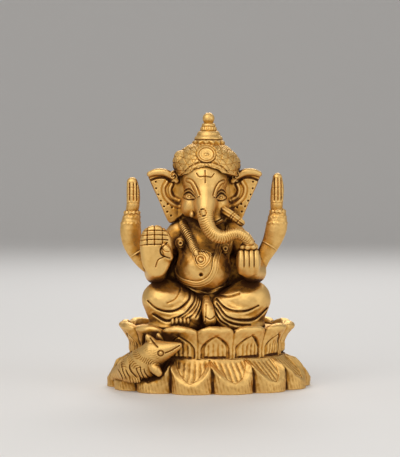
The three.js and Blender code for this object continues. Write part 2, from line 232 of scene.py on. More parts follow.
def slab(flat, through, half, edge):
    """An outline's field, given thickness and a rounded edge."""
    a, b = flat + edge, np.abs(through) - half + edge
    return np.minimum(np.maximum(a, b), 0) + np.hypot(np.maximum(a, 0), np.maximum(b, 0)) - edge


def torus(p, centre, axis, radius, thickness):
    q = p - column(centre)
    axis = np.array(axis, np.float32) / np.linalg.norm(axis)
    height = axis @ q
    return np.hypot(np.sqrt(np.maximum((q * q).sum(axis=0) - height**2, 0)) - radius, height) - thickness


AXES = np.eye(3, dtype=np.float32)[:, :, None]


def laid_on(shape, points, lift):
    """Moves points of (x, y, z, ...) to a height of lift above a field's surface."""
    at = np.array([row[:3] for row in points], np.float32).T
    for _ in range(12):
        here = shape(at)
        slope = np.stack([shape(at + 0.05 * axis) - here for axis in AXES])
        at -= (here - lift) * slope / (length(slope) + 1e-9)
    return [(*map(float, place), *row[3:]) for place, row in zip(at.T, points)]


def hand_worked(p, amount):
    """The slow unevenness that filing and burnishing by hand leave."""
    x, y, z = p
    wide = np.sin(0.9 * x + 1.7 * np.sin(0.5 * z) + 0.4 * y)
    wide = wide + np.sin(1.1 * z + 1.3 * np.sin(0.7 * y) + 0.6 * x)
    close = 0.8 * np.sin(1.9 * x + 1.4 * np.sin(0.9 * z + 0.5 * y))
    close = close * np.sin(1.7 * z + 1.2 * np.sin(0.8 * x + 0.6 * y))
    return amount * (wide + close)


# ---------------------------------------------------------------- lotus


def petal_frame(p, centre_x, phase):
    """Oval polar coordinates: radius, place across the petal from -1 to 1, and the scale of r."""
    u, v = p[0] - centre_x, p[1] / DEPTH_RATIO
    r = np.hypot(u, v) + 1e-3
    turns = np.arctan2(u, -v) / (2 * np.pi) * PETALS - 0.5 * (1 - phase)
    across = 2 * (turns - np.round(turns))
    scale = np.sqrt((u / r) ** 2 + (v / r / DEPTH_RATIO) ** 2)
    return r, across, scale


def lower_lotus(p):
    """Petals that droop outwards from the waist, each with a ribbed panel."""
    z = p[2]
    r, a, scale = petal_frame(p, BASE_X * np.clip((WAIST_Z - z) / 6.2, 0, 1), 0)
    side = np.abs(a)
    out = BASE_RADIUS - 0.4 - 4.0 * side**2.4
    lip = 3.9 + 8.0 * side**2.2
    run = np.clip((r - 33.0) / (out - 33.0), 0, 1.2)
    face = WAIST_Z - (WAIST_Z - lip) * run**0.9
    t = a * np.pi / PETALS * r / scale**0.5  # millimetres across the petal
    rise = run / 0.9
    panel = (np.abs(t) - 5.9 * (1 - rise**3)) / np.sqrt(1 + (1.6 * rise**2) ** 2)
    inside = step(-panel, 0.1, 0.7) * step(run, 0.02, 0.12)
    face -= inside * (0.3 + 0.55 * (1 - np.abs(np.cos(t * np.pi / 1.95))))
    face -= mark(panel, 0.3, 0.55) * step(run, 0.02, 0.1)
    d = -smooth_min(-(z - face) * 0.74, -(r - out) / scale, 0.9)
    d += mark((1 - side) * 7.6, 0.4, 0.5)
    d += 0.07 * np.cos(a * 41 + z) * step(lip - z, 0, 1) + hand_worked(p, 0.08)
    d = np.maximum(np.maximum(d, z - (WAIST_Z - 0.15)), 0.05 - z)
    hollow = r - np.where(z < WAIST_Z - 5, 34 - 0.68 * z, 27.6)
    return carve(d, hollow / scale)


def arch(t, z, half_width, low, spring, high):
    """Negative inside an arch with straight feet and a pointed head."""
    rise = np.clip((z - spring) / (high - spring), 0, 1)
    side = np.abs(t) - half_width * (1 - rise**1.5) ** 0.8
    return np.maximum(np.maximum(side * 0.8, low - z), z - high)


def upper_lotus(p):
    """Petals that stand round a bowl, each with an arched panel, and the seat in the bowl."""
    z = p[2]
    r, a, scale = petal_frame(p, 0, UPPER_PHASE)
    side = np.abs(a)
    rise = np.clip((z - WAIST_Z) / (RIM_Z - WAIST_Z), 0, 1.1)
    flare = np.clip((z - WAIST_Z - 4.5) / 7, 0, 1.2) ** 1.7
    out = 32.2 + 0.8 * rise + (3.6 - 1.7 * side**2) * flare + 1.0 * (1 - side**2)
    top = RIM_Z - 0.1 - 2.1 * side**2.2 - 0.24 * np.maximum(r - 35.0, 0) ** 2
    t = a * np.pi / PETALS * r / scale**0.5
    panel = arch(t, z, 4.6, WAIST_Z + 0.5, WAIST_Z + 4.0, WAIST_Z + 9.4)
    sunk = step(-panel, 0.1, 0.6)
    ribs = (1 - np.abs(np.cos(t * np.pi / 1.7))) * step(WAIST_Z + 7 - z, 0, 2)
    out -= sunk * (0.3 + 0.55 * ribs) + mark(panel, 0.45, 1.3)
    out -= mark((1 - side) * 7.0, 0.22, 0.25)
    inner = 30.2 + 3.4 * rise**2.5
    bowl = np.minimum((inner - r) / scale, z - SEAT_Z)
    under = np.maximum((r - 27.5) / scale, z - (SEAT_Z - 3.1))
    d = -smooth_min(-(r - out) / scale, -(z - top), 1.8)
    d = carve(d, -bowl, 0.8)
    d = np.maximum(np.maximum(d, WAIST_Z - 0.4 - z), -under)
    socket = np.hypot(p[0], p[1] - 2) - 5.3
    return np.maximum(d + hand_worked(p, 0.08), -socket)


# ---------------------------------------------------------------- mouse

MOUSE_BODY = [
    (-37.6, -9.0, 6.0, 2.8), (-33.0, -15.2, 8.6, 4.9), (-28.0, -20.2, 11.8, 6.0), (-23.8, -23.4, 15.2, 5.4),
    (-20.6, -25.0, 17.0, 4.4),
]


def mouse(p):
    x, y, z = p
    haunch = egg(p, (-31.2, -18.6, 9.6), (6.4, 5.2, 5.2), turn("Y", -24))
    flank = egg(p, (-26.2, -22.4, 10.6), (5.4, 4.6, 4.8))
    body = fuse(1.5, tube(p, MOUSE_BODY), haunch, flank)
    run, angle = along_tube(p, MOUSE_BODY)
    coat = step(-19.5 - x, 0, 2.5)
    tufts = step(np.sin(run * 1.5 + angle * 4) + 0.5 * np.sin(run * 0.7 - angle * 2), -0.9, 0.2)
    body += lines(angle * 5.2 + 0.5 * np.sin(run), 0.95, 0.2, 0.34) * tufts * coat * step(z, 9.4, 11)
    strokes = lines(x + 0.32 * z + 0.4 * np.sin(0.8 * z) + 0.4 * np.sin(0.9 * x), 1.9, 0.24, 0.5)
    ends = step(11.6 + 1.4 * np.sin(1.9 * x) - z, 0, 1.2)
    body += strokes * coat * ends * step(-16 - y, 0, 3)
    head = tube(p, [
        (-23, -24.2, 17.2, 4.6), (-19.2, -26.0, 17.7, 3.9),
        (-15.6, -27.2, 18.9, 2.6), (-12.6, -27.8, 20.0, 1.25),
    ])
    foreleg = tube(p, [(-24.4, -24.2, 12.6, 2.6), (-22.2, -27.0, 10.4, 2.1), (-20.8, -27.8, 8.8, 1.4)])
    hind = tube(p, [(-35.4, -15.4, 6.8, 2.4), (-32.2, -20.2, 5.9, 1.9), (-29.2, -23.0, 5.6, 1.5)])
    near_ear = egg(p, (-23.5, -25.0, 21.4), (1.5, 1.3, 3.7), turn("Y", -42))
    far_ear = egg(p, (-20.2, -21.0, 22.2), (1.3, 1.1, 2.4), turn("Y", -26))
    d = fuse(1.2, body, head)
    d = fuse(0.7, d, foreleg, hind, near_ear, far_ear)
    front = step(-23 - y, 0, 1)
    mouth = stroke(x, z, [(-18.2, 17.2), (-15.8, 18.2), (-12.6, 20.0)])
    ear_fold = stroke(x, z, [(-24.2, 22.8), (-22.8, 21.0), (-21.3, 19.5)])
    d += mark(mouth, 0.26, 0.7) * front
    d += mark(ear_fold, 0.26, 0.6) * front
    eye = np.hypot(x + 20.1, z - 17.1)
    d += (mark(np.abs(eye - 1.1), 0.26, 0.55) - mark(eye, 0.6, 0.3)) * front
    toes = lines(x + z * 0.3, 1.1, 0.22, 0.35)
    return d + toes * step(-20 - y, 0, 2) * step(6.8 - z, 0, 1)


def mouse_tail(p):
    d = tube(p, [(-38.4, -7, 4.6, 1.5), (-39.6, -2, 3.6, 1.3), (-39.4, 3, 4.8, 1.1), (-37.4, 8, 6.8, 0.8)])
    return d + 0.08 * np.cos(p[1] * 2 * np.pi / 0.9)


# ---------------------------------------------------------------- crown


def crown_knob(p):
    ball = egg(p, (SPIRE_X, 0, TOP_Z - 2.5), (2.5, 2.5, 2.45))
    neck = egg(p, (SPIRE_X, 0, TOP_Z - 4.4), (2.0, 2.0, 1.1))
    return fuse(0.4, ball, neck)


SPIRE_PROFILE = [  # radius and height
    (0, 101), (6.4, 101), (6.4, 102.6), (5.8, 103.9), (5.7, 104.4), (4.8, 105.4), (4.5, 106.4),
    (4.0, 107.0), (3.2, 107.3), (3.3, 107.8), (2.6, 110.0), (2.2, 110.4), (0, 110.5),
]


def crown_spire(p):
    x, y, z = p[0] - SPIRE_X, p[1], p[2]
    r, angle = np.hypot(x, y), np.arctan2(x, -y)
    d = polygon(r, z, SPIRE_PROFILE) - 0.2
    d += 0.3 * np.cos(angle * 14) * step(103.2 - z, 0, 0.6) * step(r, 3, 5)
    d += 0.12 * np.cos(angle * 19) * step(z, 107.6, 108) * step(109.4 - z, 0, 0.5)
    return d + mark(z - 103.5, 0.2, 0.4) + mark(z - 109.2, 0.2, 0.25)


def leaves(u, v):
    """Rows of overlapping leaves, one unit wide and high: how far they stand up, from about 0 to 1."""
    row = np.floor(v)
    up = v - row
    shifted = u + 0.5 * (row % 2)
    across = 2 * np.abs(shifted - np.round(shifted))
    edge = 1 - across**1.6 - up
    veins = mark(np.abs((across * 0.8 + up) * 4 % 1 - 0.5), 0.16, 0.35) * step(across, 0.06, 0.2)
    return 0.6 + 0.3 * np.clip(edge * 2.5, -1, 1) - mark(edge, 0.1, 0.55) - mark(across, 0.08, 0.3) - veins


def dome_body(p):
    d = egg(p, (0.1, 0, 91.5), (13.4, 12.8, 11.7))
    shoulders = egg(p, (0.1, 1.0, 93.6), (13.8, 9.4, 6.4))
    corner = egg(p, (-11.4, -1.0, 95.4), (1.9, 4.0, 3.2), turn("Y", -6))
    return fuse(2.0, d, shoulders, corner)


CROWN_RIM = [(-12.0, 84.6), (-8.6, 88.4), (-5.6, 91.2), (-0.8, 92.4), (4.2, 91.0), (7.2, 88.2), (10.4, 84.6)]


def crown_dome(p):
    x, y, z = p
    d = dome_body(p)
    ring, from_disc = np.arctan2(x, -y), np.hypot(x + 0.7, (z - 97.6) * 1.1)
    front = step(-3 - y, 0, 3)
    lower = leaves(ring * 26 / (2 * np.pi), (z - 86) / 2.7)
    rays = leaves(np.arctan2(x + 0.7, z - 97.6) * 20 / (2 * np.pi), (from_disc - 4.2) / 2.6)
    d -= 0.4 * (lower * (1 - front) + rays * front * step(from_disc, 4.0, 4.6))
    band = stroke(x, z, CROWN_RIM, 5)
    under = polygon(x, z, [(-14, 70), *CROWN_RIM, (12, 70)])
    rim = np.abs(np.where(under < 0, -band, band) - 0.9)
    d = np.where(y < -1, d - mark(rim, 0.8, 0.4) + mark(band - 2.0, 0.22, 0.4), d)
    d -= mark(np.abs(z - 88.6 - 0.1 * y), 0.9, 0.5) * step(y, 0, 3)
    d = np.maximum(d, -np.maximum(under - 0.2, y + 1.5))
    return np.maximum(d, 88.2 - 0.2 * (y + 4) - z)


def crown_medallion(p):
    q = turn("X", -32).T @ (p - column((-0.7, -10.5, 97.0)))
    r = np.hypot(q[0], q[2])
    d = slab(r - 3.8, q[1], 1.3, 0.35)
    d += (q[1] < 0) * (mark(r - 3.1, 0.24, 0.4) + 0.12 * step(2.7 - r, 0, 0.6))
    return fuse(0.3, d, egg(q, (-0.1, -1.1, -0.3), (0.9, 0.6, 0.7)))


def crown_rosette(side):
    def shape(p):
        centre = (HEAD_X + side * 13.0, -3.2, 88.4)
        bud = egg(p, centre, (1.9, 1.8, 2.2))
        q = p - column(centre)
        angle, r = np.arctan2(q[0] * side, q[2]), np.hypot(q[0], q[2])
        return bud + 0.3 * np.cos(2 * angle + 4.2 * r)

    return shape


# ---------------------------------------------------------------- head

EAR_OUTLINE = smooth_outline([
    (7, 76), (8.4, 87), (12.2, 89.6), (17.4, 91.2), (21.2, 91.0), (23.7, 89.4), (22.4, 85.2), (20.2, 80.4),
    (17.9, 75.2), (15.6, 69.8), (13.8, 68.6), (10.6, 71),
], 2)
EAR_DOTS = [
    (20.4, 86.0), (20.3, 83.2), (19.4, 80.6), (18.3, 78.0), (17.0, 75.6), (15.6, 73.4), (14.0, 71.8),
    (15.4, 76.6), (13.6, 75.2),
]


def ear(side):
    def shape(p):
        u, y, z = side * (p[0] - HEAD_X), p[1], p[2]
        root = step(11.4 - u, 0, 3.4)
        middle = -1.7 + 0.018 * (u - 14) ** 2 - 0.3 * step(z, 84, 90) - 2.4 * root
        d = slab(polygon(u, z, EAR_OUTLINE), y - middle, 1.15, 0.8)
        q = np.stack([u, y, z])
        lip = tube(q, [
            (23.0, -1.8, 89.2, 1.2), (20.4, -2.6, 90.0, 1.45), (16.8, -3.0, 89.9, 1.5),
            (13.4, -3.2, 88.2, 1.4), (11.6, -3.4, 86.4, 1.2),
        ])
        front = y < middle + 0.3
        relief = mark(stroke(u, z, [(22.6, 86.6), (19.4, 87.7), (16.4, 87.6), (14.2, 86.2)]), 0.4, 0.8)
        relief += mark(np.hypot((u - 12.6) / 1.2, (z - 81.6) / 2.6), 1.0, 0.8)
        for ridge in (
            [(15.7, 86.0), (17.1, 83.2), (16.3, 79.6), (13.4, 76.8), (10.4, 75.6)],
            [(13.6, 84.9), (14.5, 82.6), (13.5, 79.9), (10.8, 78.1)],
        ):
            away = stroke(u, z, ridge)
            relief += mark(np.abs(away - 1.0), 0.26, 0.22) - mark(away, 0.6, 0.5)
        for dot_u, dot_z in EAR_DOTS:
            relief += mark(np.hypot(u - dot_u, z - dot_z), 0.3, 0.9)
        return fuse(0.5, d + np.where(front, relief, 0), lip)

    return shape


TRUNK = [
    (-1.0, -10.2, 82.5, 4.0), (-1.1, -13.8, 77.6, 4.0), (-1.3, -17.4, 72.0, 3.4), (-0.1, -18.8, 67.4, 3.0),
    (2.6, -19.8, 64.4, 2.95), (5.9, -20, 63.6, 2.75), (8.8, -20, 64.5, 2.5), (11.8, -20, 65.0, 2.45),
    (14.6, -20, 63.7, 2.4), (16.3, -19.4, 61.8, 2.2),
]


def muzzle(p):
    """The face with the trunk growing out of it, and a value that rises into the trunk's share."""
    whole_trunk = tube(p, TRUNK, 5)
    beyond = np.minimum((78.4 - p[2]) * 0.8 + (-13.4 - p[1]) * 0.6, 1.2 - whole_trunk)
    return smooth_min(face(p), whole_trunk, 2.4), beyond


def trunk(p):
    x, y, z = p
    whole, beyond = muzzle(p)
    run, angle = along_tube(p, TRUNK, 5)
    ringed = step(run, 9.6, 11.6) * (0.7 + 0.3 * np.cos(angle * 3))
    whole += lines(run + 0.12 * np.sin(angle * 4), 0.84, 0.19, 0.36) * ringed
    curl = np.hypot(x + 2.5, z - 73.6)
    whole += (mark(np.abs(curl - 1.35), 0.25, 0.4) - mark(curl, 0.75, 0.5)) * (y < -15)
    return np.maximum(whole, -beyond - 0.3)


RIGHT_TUSK = [(-6.2, -9.6, 75, 1.4), (-6.5, -12.4, 72.6, 1.25)]
LEFT_TUSK = [(5.2, -10, 75.0, 1.8), (9.4, -12.2, 72.4, 1.8), (13.6, -13.4, 69.2, 1.5)]


def tusk(points, grooves):
    """A round bar, with rings cut at those distances along it. A tusk with rings is fluted too."""

    def shape(p):
        run, angle = along_tube(p, points, 3)
        chased = sum(mark(run - at, 0.22, 0.35) for at in grooves)
        return tube(p, points, 3) + chased + (0.12 * np.cos(angle * 7) if grooves else 0)

    return shape


EYES = [  # outer corner, over the pupil, inner corner, and under it
    [(-10.2, 79.8), (-8.9, 81.3), (-7.2, 81.5), (-5.0, 79.3), (-6.7, 78.7), (-8.6, 78.8)],
    [(7.9, 79.4), (6.5, 81.0), (4.8, 81.1), (2.8, 79.1), (4.5, 78.3), (6.4, 78.4)],
]
LID_RISE = (1, 1, 1, 0.6)  # the upper lid's lines rise less at the inner corner
BROWS = [
    [(-8.4, 86.8), (-6.9, 86.1), (-5.5, 83.9), (-4.5, 81.2), (-3.8, 78.8)],
    [(6.5, 86.2), (5.0, 85.4), (3.6, 83.3), (2.7, 80.8), (2.0, 78.6)],
]
FOREHEAD_MARK = [
    [(-1.3, 90.8), (-1.3, 85.8)],
    [(-4.8, 89.6), (-3.7, 88.2), (-1.3, 88.4), (1.2, 88.1), (2.4, 89.4)],
]
MOUTH_LINE = [(0.6, 68.9), (3.4, 69.7), (6.4, 71.4)]


def face(p):
    skull = egg(p, (HEAD_X, -3.2, 87), (9.7, 10.9, 9.4))
    jaw = egg(p, (HEAD_X, -4.2, 78), (9.3, 8.8, 8))
    right_cheek = egg(p, (-7.4, -6.8, 76.2), (3.4, 4.8, 4.8), turn("Y", 14))
    left_cheek = egg(p, (5.4, -6.8, 76.4), (3.5, 4.8, 4.8), turn("Y", -14))
    bridge = tube(p, [(HEAD_X, -8.2, 88, 4.7), (HEAD_X, -9.8, 82, 4.6), (HEAD_X, -12.6, 77.6, 4.0)])
    mouth = egg(p, (2.8, -10.2, 69.9), (4.0, 3.2, 1.8), turn("Y", -14))
    lips = egg(p, (HEAD_X, -9.6, 74.2), (6.6, 4.4, 4.6))
    return fuse(2.0, skull, jaw, right_cheek, left_cheek, bridge, mouth, lips)


def head(p):
    x, y, z = p
    relief = np.zeros_like(x)
    for eye, brow in zip(EYES, BROWS):
        lids = polygon(x, z, smooth_outline(eye, 3))
        relief += mark(lids, 0.24, 0.4) - mark(np.maximum(lids + 0.8, 0), 0.5, 0.4)
        pupil = np.hypot(x - np.mean([q[0] for q in eye]), z - np.mean([q[1] for q in eye]) - 0.1)
        relief += mark(pupil - 0.65, 0.2, 0.3)
        for gap, width, height in ((0.75, 0.3, -0.35), (1.4, 0.22, 0.25), (2.1, 0.4, -0.2)):
            lid = [(u, w + gap * rise) for (u, w), rise in zip(eye, LID_RISE)]
            relief += mark(stroke(x, z, lid), width, height)
        away = stroke(x, z, brow)
        relief += mark(away - 0.85, 0.22, 0.28) - mark(away, 0.6, 0.6)
    for line in FOREHEAD_MARK:
        relief += mark(stroke(x, z, line), 0.2, 0.5)
    relief += mark(stroke(x, z, MOUTH_LINE), 0.28, 0.6)
    whole, beyond = muzzle(p)
    return np.maximum(whole + relief * step(-4 - y, 0, 2), beyond - 0.3)


# ---------------------------------------------------------------- body


def torso_body(p):
    belly = egg(p, (-1.6, -6.8, 50.2), (11.4, 12.0, 10.8))
    chest = egg(p, (-0.8, -1.5, 59.5), (12, 9.2, 9))
    shoulders = egg(p, (-0.5, 0.5, 63.5), (15, 6.6, 5.4))
    neck = egg(p, (HEAD_X, 0.5, 68.4), (6.4, 6.2, 5))
    hips = egg(p, (-0.5, 1, 36), (14, 11, 12.9))
    lap = egg(p, (-0.5, -9, 31), (8, 7.4, 8))
    return fuse(3.0, belly, chest, shoulders, neck, hips, lap)


def torso_form(p):
    """The body, with the webs of metal that fill the gaps beside it and behind the neck."""
    web = egg(p, (-0.5, 3, 49.5), (21, 3.2, 12.8))
    nape = egg(p, (HEAD_X, 1.2, 71), (13, 3.8, 7))
    return fuse(2.0, torso_body(p), web, nape)


TORSO_CREASES = [
    [(-13.4, 67), (-11.4, 61), (-9.4, 56.6)],
    [(11, 64), (8.8, 58), (8.2, 53)],
    [(-9.6, 61.0), (-6, 57.6), (0, 56.6), (6, 57.6), (9, 60.4)],
    [(-12.4, 44.0), (-8, 41.6), (-1, 40.8), (5, 42.0), (9, 45.4)],
]


def torso(p):
    x, y, z = p
    rough = 0.25 * np.cos(2.1 * x + np.sin(z)) * np.cos(1.9 * z + 0.6 * np.sin(x))
    d = torso_form(p) + rough * step(torso_body(p), 0.4, 1.5) * step(1 - y, 0, 2)
    navel = np.hypot(x + 3.2, z - 48.0)
    relief = mark(navel, 0.6, 1.6) + sum(mark(stroke(x, z, line), 0.3, 0.4) for line in TORSO_CREASES)
    relief += lines(z + 0.5 * np.sin(2 * x), 1.2, 0.3, 0.45) * step(37.5 - z, 0, 2)
    folds = lines(z - 0.012 * (x + 0.5) ** 2 + 0.3 * np.sin(0.5 * x), 2.3, 0.5, 0.8) * step(41 - z, 0, 1.5)
    spine = mark(x + 0.7, 1.6, 0.6) * step(z, 46, 50) * step(64 - z, 0, 4)
    spine -= sum(mark(np.hypot(x - u, (z - 60.5) / 1.4), 3.2, 0.8) for u in (-6.4, 5.0))
    d = d + np.where(y < 0, relief, spine + folds) + hand_worked(p, 0.05)
    # The underside is flat on the seat, but for the spigot that stands in the seat's socket.
    spigot = np.hypot(x, y - 2) - 5
    d = np.maximum(d, np.where(spigot < 0.15, -1e3, SEAT_Z + 0.1 - z))
    return fuse(0.4, d, np.maximum(spigot, np.maximum(19.6 - z, z - 30)))


THREAD = laid_on(torso_form, [
    (7.8, 6, 67.4), (9.2, 0.5, 68.6), (9.0, -4, 66.4), (7.2, -8, 62.5), (4.8, -13, 58.4), (3.0, -17, 54.2),
    (2.3, -18, 50.2), (0.2, -18, 46.2), (-4.0, -17, 43.9), (-8.6, -15, 44.2), (-11.8, -10, 46.2),
    (-12.8, -3, 49.4), (-11.4, 6.4, 53), (-6.4, 7.4, 57), (-0.5, 8, 61.4), (4.8, 7.4, 65.6), (7.8, 6, 67.4),
], 0.2)
GARLAND = laid_on(torso_body, [
    (-9.4, 3, 69.8, 2.0), (-11.0, -3, 69.6, 2.1), (-10.2, -8, 67.0, 2.1), (-9.0, -11, 64.4, 2.05),
    (-7.6, -13, 62.0, 2.0), (-6.3, -15, 59.6, 1.9), (-5.0, -17, 57.2, 1.7),
], 0.5)
PENDANT = smooth_outline([
    (-6.9, 57.2), (-6.5, 55.4), (-5.4, 52.2), (-3.4, 50.5), (-1.4, 51.3), (0.7, 53.9), (1.0, 57.0),
    (-3.0, 58.4),
], 3)


def sacred_thread(p):
    """A flat band laid on the torso, with a line along each edge. A thin core joins its front and
    back through the web beside the body.
    """
    away = tube(p, [(*row, 0) for row in THREAD])
    d = slab(away - 1.45, torso_form(p) - 0.1, 0.75, 0.45)
    return np.minimum(d + mark(away - 0.85, 0.22, 0.28), away - 0.5)


def shoulder_garland(p):
    d = tube(p, GARLAND)
    run, angle = along_tube(p, GARLAND)
    return d + lines(run + 0.3 * angle, 1.0, 0.22, 0.5)


def garland_pendant(p):
    x, y, z = p
    leaf = polygon(x, z, PENDANT)
    over = torso_body(p)
    d = slab(leaf, over - 0.2, 0.9, 0.5)
    r = np.hypot(x + 3.4, z - 54.4)
    relief = mark(leaf + 0.7, 0.22, 0.4) - mark(r, 0.7, 0.4)
    relief = relief + mark(r - 1.15, 0.22, 0.45) + mark(r - 2.1, 0.2, 0.35)
    relief += lines(x + 0.8 * z, 0.9, 0.18, 0.25) * step(r, 2.2, 2.5) * step(z, 55.4, 56)
    return np.maximum(d + np.where(over > 0.3, relief, 0), y + 2)


def chest_boss(centre):
    def shape(p):
        r = np.hypot(p[0] - centre[0], p[2] - centre[2])
        d = egg(p, centre, (2.1, 1.8, 2.4))
        return d + mark(r, 0.5, 0.8) + mark(np.abs(r - 1.45), 0.3, 0.3)

    return shape


BELT = laid_on(torso_body, [
    (-0.5, 11, 42.8), (-6.4, 9.4, 42.8), (-11.4, 6, 42.6), (-14.4, -1, 42.4), (-11.6, -8.4, 42.6),
    (-6.2, -12.4, 41.4), (-0.3, -13.4, 39.6), (5.4, -12.4, 41.0), (10.6, -8.4, 42.6), (13.6, -1, 42.4),
    (10.6, 6, 42.6), (5.4, 9.4, 42.8), (-0.5, 11, 42.8),
], -0.1)


def waist_belt(p):
    d = tube(p, [(*row, 0.85) for row in BELT], 3)
    run, angle = along_tube(p, BELT, 3, up=(0, 0, 1))
    d = d + 0.15 * np.cos(3 * angle + 0.9 * run)
    knot = egg(p, (0.5, -14.2, 39.9), (2.0, 1.5, 1.5), turn("Y", 18))
    return fuse(0.4, d, knot + mark(p[0] - 0.5 + 0.3 * (p[2] - 40), 0.25, 0.4))


def dhoti_tail(p):
    x, y, z = p
    d = tube(p, [(-0.9, -14.2, 38.0, 1.5), (-0.4, -18.2, 33.6, 2.5), (0.3, -19.6, 29.4, 2.7)], flat=0.85)
    hem = mark(stroke(x, z, [(-1.4, 30.8), (0.4, 29.9), (2.2, 31.0)]), 0.24, 0.45)
    folds = mark(stroke(x, z, [(-1.2, 36), (-1.5, 32), (-1.6, 28.6)]), 0.24, 0.3)
    return d + np.where(y < -16, hem + folds, 0)


LEG_FOLDS = {  # curves over the front of each leg, with how deep they are cut
    -1: [
        ([(-25.0, 37.0), (-21.2, 33.9), (-16.2, 32.8), (-11.8, 34.2), (-8.2, 37.4), (-7.2, 41.0)], 0.7),
        ([(-17.0, 36.3), (-13.6, 38.0), (-11.3, 41.8)], 0.35),
        ([(-22.6, 31.4), (-18.2, 29.1), (-14.6, 29.5), (-9.6, 32.4), (-6.0, 36.6), (-5.4, 40.0)], 0.7),
        ([(-4.2, 39.2), (-5.2, 35.4), (-8.0, 32.4), (-12, 29.6)], 0.6),
        ([(-3.2, 38.6), (-4.2, 34.8), (-6.8, 31.4), (-9, 29.8)], 0.5),
        ([(-2.4, 38.0), (-3.2, 34.0), (-5.2, 30.6)], 0.5),
    ],
    1: [
        ([(4.0, 39.2), (8.6, 38.7), (12.6, 40.0)], 0.45),
        ([(3.4, 37.6), (6.6, 34.4), (11.0, 32.9), (16.2, 33.1), (20.4, 35.0)], 0.7),
        ([(3.4, 36.0), (7.2, 31.0), (13.0, 29.2), (19.4, 29.6), (24.4, 33.6)], 0.7),
        ([(3.2, 33.8), (6.6, 29.3), (11.6, 27.3), (17.0, 26.8)], 0.55),
        ([(2.6, 32.0), (4.6, 29.0), (7.4, 27.2)], 0.45),
    ],
}


def leg(side):
    """One leg, worked out in a frame whose first axis runs outwards from the middle."""

    def shape(p):
        x, y, z = p
        out = side * (x - LEGS_X)
        q = np.stack([out, y, z])
        knee = egg(q, (17.6, -8.4, 36.8), (9.3, 9.4, 8.3), turn("Y", -12))
        lap = tube(q, [(17, -7.4, 37.2, 7.2), (10.6, -9.2, 35.6, 6.4), (4.6, -11.6, 33.6, 4.8)])
        thigh = tube(q, [(6, 1, 34, 8.0), (15, -4, 34.6, 8.0)])
        shin = tube(q, [(19.4, -9.4, 31.2, 5.0), (13.0, -13.6, 30.4, 4.6), (6.0, -15.4, 30.0, 3.9)])
        pad = egg(q, (12, -9, 26.2), (12.6, 9.6, 3.4))
        d = fuse(2.4, knee, lap, thigh, shin, pad)
        relief = np.zeros_like(x)
        for points, depth in LEG_FOLDS[side]:
            away = stroke(x, z, points)
            relief += mark(away, 0.3, depth) - mark(away - 1.0, 0.6, 0.25 * depth)
        facet = (z - 42 - 0.14 * (out - 17.6)) * 0.89 - (y + 14) * 0.45
        d = -smooth_min(-d, -facet, 0.6)
        d = d + relief * step(-9 - y, 0, 3) + hand_worked(p, 0.03)
        back_folds = lines(z + 0.1 * side * x, 2.4, 0.45, 0.6) * step(y + 1, 0, 3)
        return np.maximum(d + back_folds, SEAT_Z + 0.1 - z)

    return shape


TOES = [
    (-14.9, -20.1, 28.7), (-13.3, -20.6, 29.0), (-11.7, -20.6, 29.1), (-10.1, -20.3, 29.0),
    (-8.6, -19.8, 28.8),
]


def right_foot(p):
    sole = tube(p, [(-6.4, -16.2, 27.2, 2.2), (-10, -18.4, 27.8, 2.3), (-13.6, -19.0, 28.0, 1.9)], 3)
    toes = [egg(p, centre, (0.8, 1.2, 1.7)) for centre in TOES]
    return fuse(0.3, sole, *toes)


# ---------------------------------------------------------------- arms

PALM = smooth_outline([
    (-28.1, 57.6), (-28.2, 61.7), (-27.2, 65.6), (-24.9, 67.7), (-21.8, 68.4), (-18.9, 67.5),
    (-16.5, 65.4), (-15.1, 62.4), (-14.8, 57.4), (-16.0, 51.8), (-19.0, 47.4), (-23.6, 47.2), (-27.0, 51.6),
], 3)


def right_front_hand(p):
    x, y, z = p
    across = x + 21.5
    d = slab(polygon(x, z, PALM), y + 16.2 - 0.028 * across**2, 2.3, 1.7)
    thumb = tube(p, [(-16.6, -17.0, 55.4, 2.0), (-17.4, -18.4, 58.2, 1.8), (-18.3, -18.7, 60.0, 1.2)])
    relief = np.zeros_like(x)
    for gap in (-25.3, -22.3, -19.1):
        relief += mark(x - gap, 0.2, 0.55) * step(z, 59.9, 60.5)
    for knuckle, end in ((60.6, -19.4), (62.6, -16.6), (64.5, -16.6), (66.3, -16.6)):
        relief += mark(z - knuckle + 0.012 * across**2, 0.19, 0.5) * (x < end)
    relief += mark(stroke(x, z, [(-18.4, 55.4), (-20.8, 54.2), (-21.9, 51.4)]), 0.22, 0.5)
    d = fuse(0.5, d + np.where(y < -14.5, relief, 0), thumb)
    outline = stroke(x, z, [(-17.2, 61.2), (-19.7, 58.8), (-19.3, 56.2), (-16.0, 54.9)])
    nail = stroke(x, z, [(-19.2, 59.0), (-18.2, 57.8), (-16.4, 57.6)])
    return d + np.where(y < -15, mark(outline, 0.22, 0.6) + mark(nail, 0.2, 0.4), 0)


def front_arm(points):
    bangle = 8.4

    def shape(p):
        run, _ = along_tube(p, points)
        return tube(p, points) - mark(run - bangle, 0.6, 0.6) + mark(np.abs(run - bangle) - 1.0, 0.3, 0.35)

    return shape


RIGHT_FRONT_ARM = [
    (-11.5, 0, 64.4, 5.2), (-17.2, 0.4, 57, 5.0), (-21.2, -2.5, 48.8, 4.8), (-21.5, -8.5, 48.0, 4.2),
    (-21.7, -13, 49.6, 3.8),
]
LEFT_FRONT_ARM = [
    (10.5, 0, 64.4, 5.2), (16.4, 0.4, 57, 5.0), (20.2, -2.5, 48.8, 4.8), (18.8, -8.5, 48.2, 4.2),
    (17.2, -13, 49.6, 3.7),
]
FINGER = [  # y, z and radius
    (-17.6, 49.4, 1.2), (-19.8, 51.8, 1.25), (-20.0, 54.6, 1.25), (-18.9, 57.2, 1.2),
]


